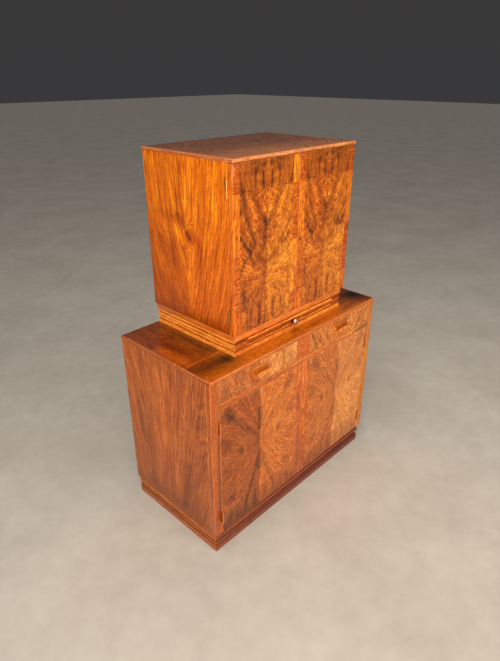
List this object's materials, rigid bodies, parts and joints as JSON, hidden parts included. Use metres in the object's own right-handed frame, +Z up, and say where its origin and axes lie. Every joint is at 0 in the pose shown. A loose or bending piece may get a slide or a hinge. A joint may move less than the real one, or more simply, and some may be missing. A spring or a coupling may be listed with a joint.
{
  "type": "bar cabinet",
  "caption": "Two-stage figured walnut bar cabinet: a hinged upper cupboard with a pull-out serving slide under it stands on a wider base with drawers over hinged doors.",
  "frame": {"origin": "on the floor under the middle of the overall box, so midway in width between the edges of the lower top, and midway in depth between the drawer handles' fronts and the back", "axes": "+X to the right as seen from the front, -Y the front that the doors, drawers and slide open towards, +Z up"},
  "size_m": [0.915, 0.482, 1.34],
  "materials": {
    "walnut_case": "French polished, high gloss, vertical veneer",
    "walnut_top": "French polished, high gloss",
    "walnut_field": "French polished, high gloss, quartered veneer",
    "walnut_golden": "French polished, high gloss, quartered veneer",
    "walnut_red": "French polished, straight grain",
    "walnut_dark": "polished mouldings",
    "edging": "polished, straight grain",
    "handle": "polished",
    "oak": "waxed, unpolished",
    "plywood": "plain, thin ply",
    "sycamore": "satin polished",
    "mirror": "silvered plate",
    "glass": "polished plate",
    "brass": "polished, slightly worn"
  },
  "bodies": {
    "carcass": {"lower_left_side": "walnut_case", "lower_right_side": "walnut_case", "lower_stiles": "walnut_red", "lower_top": "walnut_top", "lower_top_edging": "edging", "lower_bottom": "sycamore", "lower_back": "plywood", "drawer_rail": "walnut_red", "drawer_muntin": "walnut_red", "drawer_partitions": "oak", "drawer_runners": "oak", "lower_shelf": "sycamore", "shelf_pegs": "brass", "lower_plinth_front": "walnut_dark", "lower_plinth_sides": "walnut_dark", "lower_plinth_back": "oak", "upper_left_side": "walnut_case", "upper_right_side": "walnut_case", "upper_top": "walnut_top", "upper_top_edging": "edging", "upper_bottom": "edging", "upper_back": "sycamore", "mirror_back": "mirror", "glass_shelf": "glass", "upper_plinth_front": "walnut_dark", "upper_plinth_corners": "walnut_dark", "upper_plinth_sides": "walnut_dark", "upper_plinth_back": "oak", "slide_runners": "oak", "hinge_frame_leaves": "brass", "hinge_pins": "brass"},
    "serving_slide": {"slide_board": "walnut_golden", "slide_front": "walnut_dark", "slide_knob": "brass"},
    "left_drawer": {"left_drawer_front": "walnut_golden", "left_drawer_box": "oak", "left_drawer_bottom": "plywood", "left_drawer_handle": "handle"},
    "right_drawer": {"right_drawer_front": "walnut_golden", "right_drawer_box": "oak", "right_drawer_bottom": "plywood", "right_drawer_handle": "handle"},
    "left_upper_door": {"upper_left_door": "walnut_field", "upper_left_door_leaves": "brass", "upper_bolt_plate": "brass"},
    "upper_bolt": {"upper_door_bolt": "brass"},
    "right_upper_door": {"upper_right_door": "walnut_field", "upper_right_door_leaves": "brass", "upper_lock_case": "brass", "upper_keyhole_liner": "brass"},
    "upper_lock": {"upper_lock_bolt": "brass"},
    "left_lower_door": {"lower_left_door": "walnut_golden", "lower_left_door_leaves": "brass", "lower_bolt_plate": "brass"},
    "lower_bolt": {"lower_door_bolt": "brass"},
    "right_lower_door": {"lower_right_door": "walnut_golden", "lower_right_door_leaves": "brass", "lower_lock_case": "brass", "lower_keyhole_liner": "brass"},
    "lower_lock": {"lower_lock_bolt": "brass"}
  },
  "joints": [
    {"name": "serving_slide_pull", "type": "slide", "parent": "carcass", "child": "serving_slide", "axis": [0, -1, 0], "range_m": [0, 0.22]},
    {"name": "left_drawer_pull", "type": "slide", "parent": "carcass", "child": "left_drawer", "axis": [0, -1, 0], "range_m": [0, 0.3]},
    {"name": "right_drawer_pull", "type": "slide", "parent": "carcass", "child": "right_drawer", "axis": [0, -1, 0], "range_m": [0, 0.3]},
    {"name": "upper_left_door_hinge", "type": "hinge", "parent": "carcass", "child": "left_upper_door", "pos_m": [-0.3023, -0.1495, 0.799], "axis": [0, 0, -1], "range_deg": [0, 180]},
    {"name": "upper_right_door_hinge", "type": "hinge", "parent": "carcass", "child": "right_upper_door", "pos_m": [0.3023, -0.1495, 0.799], "axis": [0, 0, 1], "range_deg": [0, 180]},
    {"name": "lower_left_door_hinge", "type": "hinge", "parent": "carcass", "child": "left_lower_door", "pos_m": [-0.421, -0.2233, 0.084], "axis": [0, 0, -1], "range_deg": [0, 180]},
    {"name": "lower_right_door_hinge", "type": "hinge", "parent": "carcass", "child": "right_lower_door", "pos_m": [0.421, -0.2233, 0.084], "axis": [0, 0, 1], "range_deg": [0, 180]},
    {"name": "upper_bolt_throw", "type": "slide", "parent": "left_upper_door", "child": "upper_bolt", "axis": [0, 0, 1], "range_m": [0, 0.01]},
    {"name": "lower_bolt_throw", "type": "slide", "parent": "left_lower_door", "child": "lower_bolt", "axis": [0, 0, 1], "range_m": [0, 0.01]},
    {"name": "upper_lock_throw", "type": "slide", "parent": "right_upper_door", "child": "upper_lock", "axis": [-1, 0, 0], "range_m": [0, 0.008]},
    {"name": "lower_lock_throw", "type": "slide", "parent": "right_lower_door", "child": "lower_lock", "axis": [-1, 0, 0], "range_m": [0, 0.008]}
  ]
}
